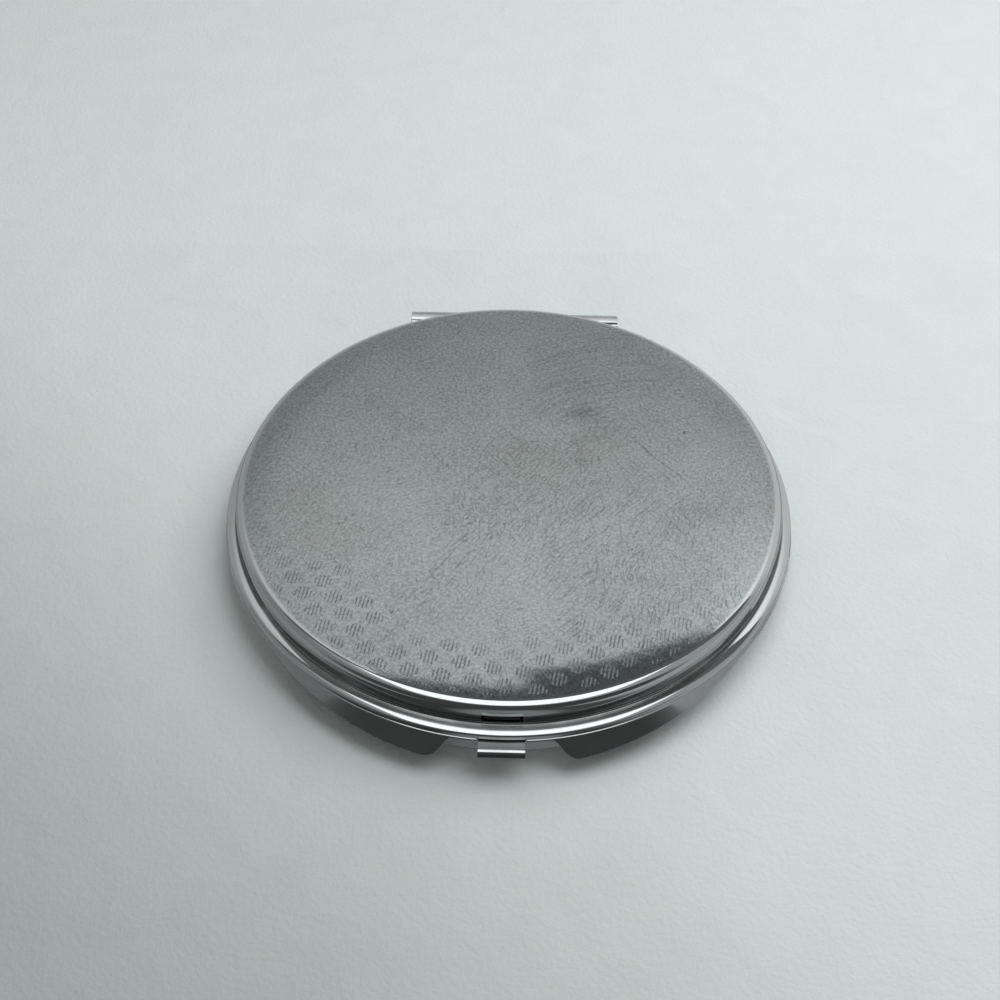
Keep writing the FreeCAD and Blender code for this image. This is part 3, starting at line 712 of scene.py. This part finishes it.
# %% [markdown]
# ## Lid chrome
# The lid is chrome plate worn dull by years of handling. Its crown is grey and cloudy with hairlines, stained a
# little brown, and the hatch marks survive best near the front edge. The shoulder, wall and rim are still
# bright. Distance from the middle tells crown from edge, so one material covers the pressed sheet as one piece.

# %% Lid chrome: zones of the crown
lid_chrome, net, shader, here = new_material("lid_chrome")
sides = net.split(here)
flat, out = net.in_plan(sides)
crown = net.ramp(out, 0.0323, 0.0328, 1.0, 0.0)
cloud = net.noise(here, 150.0, 3.0)
ragged = net.math("SUBTRACT", cloud, 0.5)


def patch_at(x, y, size):
    """A soft patch with a ragged edge round a point of the crown, in millimetres."""
    gap = net.layered(net.vector("DISTANCE", flat, (x * MM, y * MM, 0)), (ragged, size * MM * 1.2))
    return net.ramp(gap, size * MM * 0.3, size * MM, 1.0, 0.0)


print("crown ends 32.8 mm from the middle")

# %% [markdown]
# Rubbing leaves families of hairlines: each cloth stroke goes one way, over part of the crown. So each family
# has its own heading in degrees, fineness, length and sparseness, and shows only where its own slow noise is
# high. One family is bowed, as from a turning rub, which is the same line pattern drawn in angle and distance
# about a point.

# %% Lid chrome: hairlines
sway = net.add("TexNoise", {"Vector": here, "Scale": 60.0, "Detail": 1.0}).outputs["Color"]
swayed = net.vector("ADD", flat, net.vector("MULTIPLY", sway, (0.004, 0.004, 0.0)))
families = [(58, 4200, 380, 0.55), (46, 4600, 300, 0.56), (97, 4300, 420, 0.55), (76, 4800, 500, 0.54),
            (-50, 4000, 200, 0.56), (15, 4600, 600, 0.57), (-44, 3600, 120, 0.59), (54, 3800, 110, 0.60)]
scuffs = 0.0
for number, (heading, fine, long, sparse) in enumerate(families):
    found = net.place(scuff_lines, {"Vector": swayed, "Turn": math.radians(-heading), "Across": fine,
                                    "Along": long, "Sparse": sparse})["Lines"]
    region = net.add("TexNoise", {"Vector": here, "W": number * 3.7, "Scale": 75.0, "Detail": 1.0},
                     noise_dimensions="4D").outputs[0]
    scuffs = net.math("MAXIMUM", scuffs, net.times(found, net.ramp(region, 0.40, 0.58)))

arm = net.vector("SUBTRACT", flat, (19 * MM, -6 * MM, 0))
polar = net.join(net.round_axis(net.split(arm), 0.025), net.vector("LENGTH", arm))
bowed = net.place(scuff_lines, {"Vector": polar, "Across": 1700, "Along": 90, "Sparse": 0.47})["Lines"]
scuffs = net.math("MAXIMUM", scuffs, net.times(bowed, patch_at(9, 19, 14)))
rubbed = net.ramp(patch_at(5, -9, 24), 0.0, 1.0, 0.75, 1.25)
scuffs = net.times(scuffs, net.times(crown, rubbed))
print("families of hairlines:", len(families) + 1)

# %% [markdown]
# The hatch marks were pressed all over, but the middle has been rubbed smooth. They are kept by distance from
# the middle and towards the front, with a cloudy border. A mark is matt, so it looks dark where the plate
# mirrors something bright and light where the plate mirrors something dark.

# %% Lid chrome: hatch marks
marks = net.place(hatch_lattice, {"Vector": here, "Turn": math.radians(9.5)})["Mark"]
edge_side = net.layered(out, (ragged, 0.016))
kept = net.times(net.ramp(edge_side, 0.0225, 0.0285), net.ramp(out, 0.0322, 0.0318))
kept = net.times(kept, net.ramp(sides["X"], 0.008, 0.024, 1.0, 0.4))
marks = net.times(marks, net.times(kept, net.ramp(sides["Y"], -0.006, -0.019, 0.16, 1.0)))
print("hatch kept from about 22 to 32 mm")

# %% [markdown]
# A few brown stains lie where fingers hold the case, as soft patches in millimetres. One long scratch is a thin
# line in coordinates that are turned along it, and a fine mottle breaks up the whole crown.

# %% Lid chrome: stains, one long scratch and mottle
touched = net.place(handling, {"Vector": here, "Patch": 75.0, "Spot": 420.0})
stain = 0.0
for x, y, size in ((-21, -10, 7), (-24, -5, 5), (4, 1.5, 6), (11, 5, 5), (0, 4, 4), (-6, -21, 4)):
    stain = net.math("MAXIMUM", stain, patch_at(x, y, size))
slanted = net.turned(net.vector("SUBTRACT", swayed, (0.0205, 0.0055, 0)), math.radians(48))
ways = net.split(slanted)
scratch = net.times(net.ramp(net.math("ABSOLUTE", ways["Y"]), 0.00006, 0.00016, 1.0, 0.0),
                    net.ramp(net.math("ABSOLUTE", ways["X"]), 0.003, 0.0065, 0.8, 0.0))
mottle = net.noise(swayed, 2600.0, 2.0, Roughness=0.6)
mottle = net.times(net.math("SUBTRACT", mottle, 0.5), crown)
print("stains, scratch and mottle ready")

# %% [markdown]
# The masks now come together. Marks and hairlines scatter the light, and rubbed metal is greyer than bright
# plate. The groove under the wall and the flange beside it, reaching further out at the front, are made rougher
# and painted darker: painted shade for the dark that the sheet there mirrors. The relief is only a few
# thousandths of a millimetre deep.

# %% Lid chrome: roughness, colour and relief
at_front = net.ramp(sides["Y"], -0.020, -0.029)
# Painted shade: the groove under the wall and the flange beside it, wider at the front, are darkened below.
past_groove_shade = net.math("SUBTRACT", out, net.layered(0.03404, (at_front, 0.0005)))
groove_shade = net.times(net.ramp(out, 0.03361, 0.03366), net.ramp(past_groove_shade, 0.0, -0.0002))
groove_shade = net.times(groove_shade, net.ramp(sides["Z"], 0.00615, 0.00595))
groove_shade = net.times(groove_shade, net.ramp(cloud, 0.25, 0.55, 0.55, 1.0))
rough = net.layered(0.06, (touched["Patches"], 0.03), (mottle, 0.10), (scuffs, 0.10), (marks, 0.36))
rough = net.math("MULTIPLY_ADD", rough, crown, 0.04)
rough = net.layered(rough, (groove_shade, 0.2))
plate, rubbed_plate, brown = (0.74, 0.76, 0.76, 1), (0.455, 0.492, 0.490, 1), (0.43, 0.40, 0.385, 1)
browned = net.mix(net.times(stain, 0.22), net.mix(crown, plate, rubbed_plate), brown)
clouds, specks = net.times(ragged, crown), net.times(touched["Specks"], crown)
# The groove term is painted shade. The others are hairlines, mottle, clouds, specks, the scratch and the marks.
shade = net.layered(1.06, (scuffs, -0.31), (mottle, 1.3), (clouds, 0.24), (specks, -0.45),
                    (scratch, -0.35), (marks, -0.28), (groove_shade, -0.8))
relief = net.layered(net.times(marks, -1.0), (scuffs, -0.4), (mottle, 0.4))
net.fill(shader, {"Roughness": rough, "Base Color": net.scaled(browned, shade),
                  "Normal": net.bump(relief, 1.0, 0.000006), "Metallic": 1.0})
lid_cover.data.materials.append(lid_chrome)
print("lid chrome on", lid_cover.name)

# %% [markdown]
# ## Bright chrome
# Rings, pan, hinge and latch kept their bright plate. Each has the same make-up, with its own colour, grain
# direction and amount of handling, so a function builds them from the two groups. The pan's hairlines run round
# its wall, so there the pattern is unrolled: arc length one way, distance along the section the other way. On
# the latch, three zones are made rougher and painted darker. The finger inside the lid's window and the
# underside of the bead are painted shade. The leg under the lid's rim is rubbed wear with painted shade.

# %% Bright chrome
PAN_WALL = 0.0336  # radius of the pan's wall in metres


def bright_chrome(name, colour, smooth, dull, heading, fine, long, patch, shaded_zones=(), unrolled=False):
    """Bright plate. Shaded zones are (start, end, duller, darker), heights in mm: rougher, darker as painted
    shade.
    """
    material, net, shader, here = new_material(name)
    sides = net.split(here)
    if unrolled:
        along = net.math("ADD", net.in_plan(sides)[1], sides["Z"])
        here = net.join(net.round_axis(sides, PAN_WALL), along)
    touched = net.place(handling, {"Vector": here, "Patch": patch, "Spot": 800.0})
    along_grain = {"Turn": heading, "Across": fine, "Along": long, "Sparse": 0.60}
    across_grain = {"Turn": heading + 1.2, "Across": fine * 1.3, "Along": long * 1.6, "Sparse": 0.66}
    hair = net.math("MAXIMUM", *(
        net.place(scuff_lines, {"Vector": here, **grain})["Lines"] for grain in (along_grain, across_grain)))
    rough = net.layered(smooth, (touched["Patches"], dull), (hair, 0.06))
    greyed = tuple(0.86 * channel for channel in colour)
    mixed = net.mix(touched["Patches"], (*colour, 1), (*greyed, 1))
    shade = net.layered(1.0, (hair, -0.12), (touched["Specks"], -0.35))
    # Each zone is made rougher and painted darker, as painted shade.
    for start, end, duller, darker in shaded_zones:
        worn_and_shaded = net.ramp(sides["Z"], start * MM, end * MM)
        rough = net.layered(rough, (worn_and_shaded, duller))
        shade = net.times(shade, net.ramp(worn_and_shaded, 0.0, 1.0, 1.0, darker))
    net.fill(shader, {"Roughness": rough, "Base Color": net.scaled(mixed, shade),
                      "Normal": net.bump(hair, 0.06, 0.00001, invert=True), "Metallic": 1.0})
    return material


ring_chrome = bright_chrome("ring_chrome", (0.70, 0.72, 0.72), smooth=0.05, dull=0.06,
                            heading=0.4, fine=5200, long=260, patch=110.0)
base_chrome = bright_chrome("base_chrome", (0.68, 0.70, 0.70), smooth=0.10, dull=0.12,
                            heading=-0.3, fine=4200, long=220, patch=80.0, unrolled=True)
hinge_chrome = bright_chrome("hinge_chrome", (0.74, 0.76, 0.76), smooth=0.05, dull=0.05,
                             heading=0.0, fine=6000, long=240, patch=160.0)
# Latch zones painted darker as painted shade: the leg under the rim, also rubbed dull, the finger and the
# bead's underside.
leg, finger_up, under_bead = (4.35, 4.39, 0.25, 0.42), (4.6, 4.64, 0.1, 0.08), (4.08, 3.98, 0.08, 0.15)
latch_chrome = bright_chrome("latch_chrome", (0.74, 0.76, 0.76), smooth=0.05, dull=0.07,
                             heading=0.0, fine=6500, long=300, patch=200.0, shaded_zones=(leg, finger_up, under_bead))
for piece, finish in ((lid_ring, ring_chrome), (base_ring, ring_chrome), (base_pan, base_chrome),
                      (lid_leaf, hinge_chrome), (base_leaf, hinge_chrome), (latch, latch_chrome)):
    piece.data.materials.append(finish)
    print(finish.name, "on", piece.name)

# %% [markdown]
# ## Steel of the small inner pieces
# Rivets, pin, guide and spring are plain steel: greyer than the plate, with drawing or rolling lines along
# them. All but the spring keep their CAD shape and only take a finish.

# %% Inner steel
rivet_steel = bright_chrome("rivet_steel", (0.52, 0.52, 0.51), smooth=0.24, dull=0.14,
                            heading=0.0, fine=5000, long=500, patch=500.0)
spring_steel = bright_chrome("spring_steel", (0.42, 0.44, 0.46), smooth=0.28, dull=0.12,
                             heading=0.0, fine=8000, long=350, patch=400.0)
for node, finish in (("lid_hinge_rivets", rivet_steel), ("base_hinge_rivets", rivet_steel),
                     ("latch_guide_rivets", rivet_steel), ("hinge_pin", rivet_steel),
                     ("latch_guide", spring_steel)):
    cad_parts[node].material_slots[0].material = finish
    print(finish.name, "on", node)
spring.data.materials.append(spring_steel)

# %% [markdown]
# ## Silvered glass
# A mirror is almost a perfect reflector with a faint green cast, a few specks of dust and a cloudy fingerprint.
# Its rim is ground, so beyond the ring's opening it turns matt and greener.

# %% Silvered glass
mirror_glass, net, shader, here = new_material("mirror_glass")
ground = net.ramp(net.in_plan(net.split(here))[1], 0.0292, 0.02945)
touched = net.place(handling, {"Vector": here, "Patch": 60.0, "Spot": 420.0})
clouded = net.math("ADD", net.times(touched["Patches"], 0.035), 0.015)
rough = net.layered(clouded, (touched["Specks"], 0.25), (ground, 0.45))
silver, ground_glass = (0.88, 0.91, 0.90, 1), (0.38, 0.50, 0.46, 1)
dusty = net.layered(1.0, (touched["Specks"], -0.3))
net.fill(shader, {"Roughness": rough, "Base Color": net.scaled(net.mix(ground, silver, ground_glass), dusty),
                  "Metallic": 1.0})
for piece in (plain_mirror, magnifying_mirror):
    piece.data.materials.append(mirror_glass)
    print(mirror_glass.name, "on", piece.name)

# %% [markdown]
# ## Foam pads
# The pads behind the mirrors are discs of soft closed-cell foam, pressed flat between glass and sheet so that
# their sides bulge. A spun section with a bowed side gives that. Small rounded cells show in the foam, so the
# relief comes from a Voronoi texture, with a little sheen for the fine fuzz. The hollow of each cell is also
# painted darker, as painted shade.

# %% Foam
lid_pad = spun("lid_pad", [(0, 7.0), (26.4, 7.0), (26.4, 8.84, 1.08, 1), (0, 8.84)])
base_pad = spun("base_pad", [(0, 0.45), (26.4, 0.45), (26.4, 2.0, 0.85, 1), (0, 2.0)])
for pad, node, body in ((lid_pad, "lid_backing_pad", "lid"), (base_pad, "base_backing_pad", "base")):
    dress(pad, node, body)
foam, net, shader, here = new_material("foam")
cells = net.add("TexVoronoi", {"Vector": here, "Scale": 2600.0}).outputs["Distance"]
fresh, yellowed = (0.78, 0.77, 0.73, 1), (0.70, 0.67, 0.58, 1)
tone = net.mix(net.noise(here, 120.0, 3.0), fresh, yellowed)
# The cells' hollows are painted darker: painted shade.
net.fill(shader, {"Base Color": net.scaled(tone, net.ramp(cells, 0.0, 0.6, 0.8, 1.0)),
                  "Normal": net.bump(cells, 0.6, 0.00015), "Roughness": 0.9, "Sheen Weight": 0.25})
for pad in (lid_pad, base_pad):
    pad.data.materials.append(foam)
    print(foam.name, "on", pad.name)

# %% [markdown]
# ## Table
# The case lies on a pale table with a soft, slightly creased cover. The photograph is darker towards the front
# left, where less daylight falls, so the cover's colour is dimmed that way.

# %% Table
let_go()
bpy.ops.mesh.primitive_plane_add(size=4)
table = bpy.context.object
table.name = "table"
cover, net, shader, here = new_material("table_cover")
fine = net.noise(here, 1500.0, 3.0, Roughness=0.6)
crease = net.noise(here, 130.0, 4.0, Distortion=0.6)
tint = net.mix(crease, (0.70, 0.745, 0.735, 1), (0.76, 0.805, 0.795, 1))
sides = net.split(here)
to_rear_right = net.layered(net.times(sides["Y"], 0.76), (sides["X"], 0.65))
dimmed = net.ramp(to_rear_right, -0.085, -0.005, 0.62, 1.0)
soft = net.layered(net.times(fine, 0.8), (crease, 1.5))
net.fill(shader, {"Base Color": net.scaled(tint, dimmed), "Normal": net.bump(soft, 0.42, 0.0004),
                  "Roughness": 0.6})
table.data.materials.append(cover)
print("table ready")

# %% [markdown]
# ## Cards
# Chrome has no look of its own, it shows what stands round it. So, as a product photographer does, cards are
# set where the bright plate needs a darker line: two hang overhead, one stands in front, and one lies on the
# table. They only show in reflections, and each glows at its own tones: painted reflections. The one on the
# table stands in for the table's own reflection, with dark strips of painted shadow near the case.

# %% Cards
UP, DOWN, BACK = (0, 0, 1), (0, 0, -1), (0, 1, 0)


def card(name, centre, size, normal, *tones):
    """A card of two sides in millimetres, facing a direction, that glows only in reflections: a painted
    reflection.

    Its tones are pairs of a place, from 0 at the left end to 1 at the right, and a strength of glow. One is
    even.
    """
    let_go()
    bpy.ops.mesh.primitive_plane_add(size=1)
    piece = bpy.context.object
    piece.name = name
    piece.matrix_world = Vector(normal).to_track_quat("Z", "Y").to_matrix().to_4x4()
    piece.location, piece.scale = Vector(centre) * MM, (size[0] * MM, size[1] * MM, 1)
    piece.visible_camera = piece.visible_diffuse = piece.visible_shadow = False
    material, net, glow_face, here = new_material(name)
    glow = tones[0][1]
    if len(tones) > 1:
        wash = net.add("ValToRGB", {"Fac": net.math("SUBTRACT", 0.5, net.split(here)["X"])})
        wash.color_ramp.interpolation = "EASE"
        stops = wash.color_ramp.elements
        for number, (spot, tone) in enumerate(tones):
            stop = stops[number] if number < 2 else stops.new(spot)
            stop.position, stop.color = spot, (tone, tone, tone, 1)
        glow = wash.outputs["Color"]
    net.fill(glow_face, {"Base Color": (0, 0, 0, 1), "Specular IOR Level": 0.0,
                     "Emission Color": (0.96, 1, 1, 1), "Emission Strength": glow})
    piece.data.materials.append(material)
    print(name, "shows", [tone for spot, tone in tones])


# Painted reflections: dim glowing cards above and in front of the case.
card("overhead_left", (-67, -8, 110), (144, 26), DOWN, (0, 0.115))
card("overhead_right", (90, 3, 110), (170, 48), DOWN, (0, 0.115))
card("front_card", (0, -75, 22.5), (300, 45), BACK, (0, 0.2), (0.3, 0.05), (0.7, 0.05), (1, 0.32))
# Painted reflection of the table, with dark strips of painted shadow in front of the case.
card("table_card", (3, -40, 0.3), (230, 196), UP,
     (0.35, 0.23), (0.39, 0.04), (0.445, 0.04), (0.47, 0.17),
     (0.51, 0.19), (0.535, 0.06), (0.55, 0.06), (0.60, 0.34))

# %% [markdown]
# ## Light and sky
# Soft daylight comes from the right and behind, from one large round lamp that reflections don't show. The sky
# has one look for reflections and an even one for everything else: a bright rear, a dim front and, high in
# front, a bright window, which draws the lid's light edge lines.

# %% Daylight
let_go()
bpy.ops.object.light_add(type="AREA", location=(0.13, 0.10, 0.32))
window = bpy.context.object
window.name = "window_light"
window.rotation_euler = (Vector((0.03, 0, 0)) - window.location).to_track_quat("-Z", "Y").to_euler()
window.data.shape, window.data.size, window.data.energy = "DISK", 0.40, 1.06
window.data.color = (0.97, 1.0, 1.0)
window.visible_glossy = False
print("daylight ready")

# %% Sky
world = bpy.data.worlds.new("room")
bpy.context.scene.world = world
world.use_nodes = True
net = Net(world.node_tree)
way = net.split(net.add("TexCoord", {}).outputs["Generated"])
left_to_right = net.times(net.ramp(way["X"], -0.50, 0.05, 0.76, 1.0), net.ramp(way["X"], 0.05, 0.45, 1.0, 1.3))
rear = net.times(net.ramp(way["Z"], 0.58, 0.80, 0.42, 0.72), left_to_right)
low_front = net.ramp(way["X"], -0.6, 0.6, 0.20, 0.32)
in_window = net.times(net.ramp(way["X"], -0.46, -0.40), net.ramp(way["X"], 0.52, 0.46))
high_front = net.mix(in_window, 0.32, 1.25, "FLOAT")
front = net.mix(net.ramp(way["Z"], 0.70, 0.76), low_front, high_front, "FLOAT")
room = net.mix(net.ramp(way["Y"], 0.10, 0.40), front, rear, "FLOAT")
even, seen_directly = 0.32, 0.82
ray = net.add("LightPath", {}).outputs
level = net.mix(ray["Is Glossy Ray"], even, room, "FLOAT")
seen = net.math("MAXIMUM", ray["Is Camera Ray"], ray["Is Transmission Ray"])
level = net.mix(seen, level, seen_directly, "FLOAT")
net.fill(net.tree.nodes["Background"], {"Strength": level, "Color": (0.97, 1.0, 0.995, 1)})
bpy.context.scene.view_settings.view_transform = "Standard"
print("sky ready")

# %% [markdown]
# ## Finish
# Last, edit mode is left and nothing stays selected.

# %% Finish
let_go()
